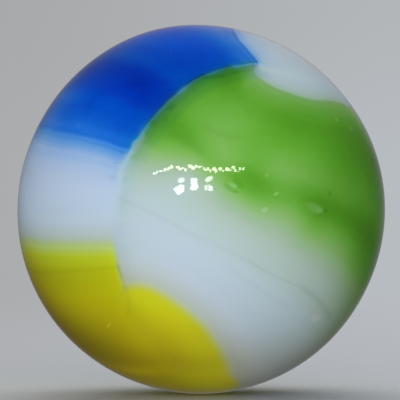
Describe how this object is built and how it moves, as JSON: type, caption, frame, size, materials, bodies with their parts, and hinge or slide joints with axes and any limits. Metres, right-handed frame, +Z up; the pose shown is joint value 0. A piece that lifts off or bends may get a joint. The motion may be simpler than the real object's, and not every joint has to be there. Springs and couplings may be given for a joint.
{
  "type": "glass marble",
  "caption": "Solid opaque glass ball with coloured patches on a white body, used as a playing marble, ball weight or rolling element.",
  "frame": {"origin": "centre of the ball", "axes": "+Z up as it sits in its ring seat in the picture, -Y towards the viewer's side with the blue, green, white and yellow patches, +X to the viewer's right"},
  "size_m": [0.0158, 0.0158, 0.016],
  "materials": {
    "patched_glass": "polished opaque white glass with blue, green and yellow glass patches"
  },
  "bodies": {
    "root": {"marble": "patched_glass"}
  },
  "joints": []
}
